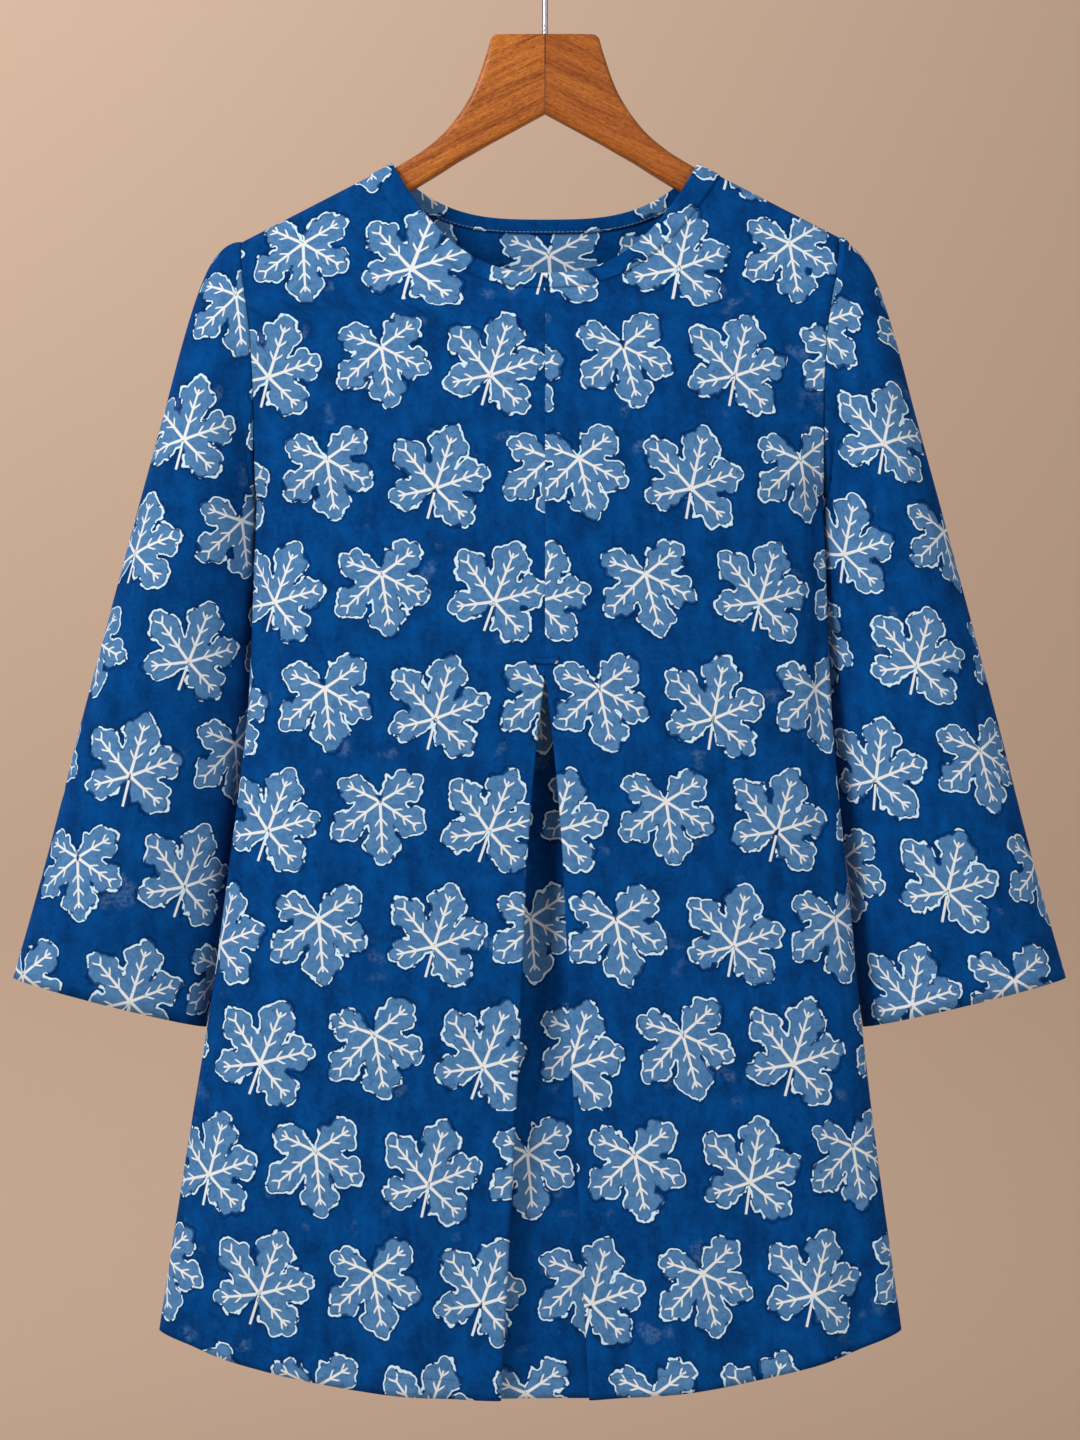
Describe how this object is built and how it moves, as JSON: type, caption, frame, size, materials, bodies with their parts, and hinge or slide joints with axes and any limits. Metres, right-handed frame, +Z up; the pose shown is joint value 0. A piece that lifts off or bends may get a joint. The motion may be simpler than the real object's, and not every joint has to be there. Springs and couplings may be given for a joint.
{
  "type": "tunic top on a hanger",
  "caption": "Loose printed tunic top with wide three-quarter sleeves and an inverted front pleat, hanging on a wooden hanger.",
  "frame": {"origin": "the bearing point inside the top of the hanger's hook, where a rail carries it", "axes": "+Z up, -Y towards the front of the tunic, +X to the right as seen from the front"},
  "size_m": [0.7182, 0.1108, 0.9908],
  "materials": {
    "printed_cotton": "matt plain weave, printed",
    "band_cotton": "matt plain weave, printed",
    "oiled_wood": "satin varnish",
    "hook_steel": "polished wire"
  },
  "bodies": {
    "root": {"front_panel": "printed_cotton", "back_panel": "printed_cotton", "sleeve_left": "printed_cotton", "sleeve_right": "printed_cotton", "neck_band_front": "band_cotton", "neck_facing_back": "band_cotton", "pleat_tack": "band_cotton", "hanger_arm_left": "oiled_wood", "hanger_arm_right": "oiled_wood", "hanger_hook": "hook_steel"}
  },
  "joints": []
}
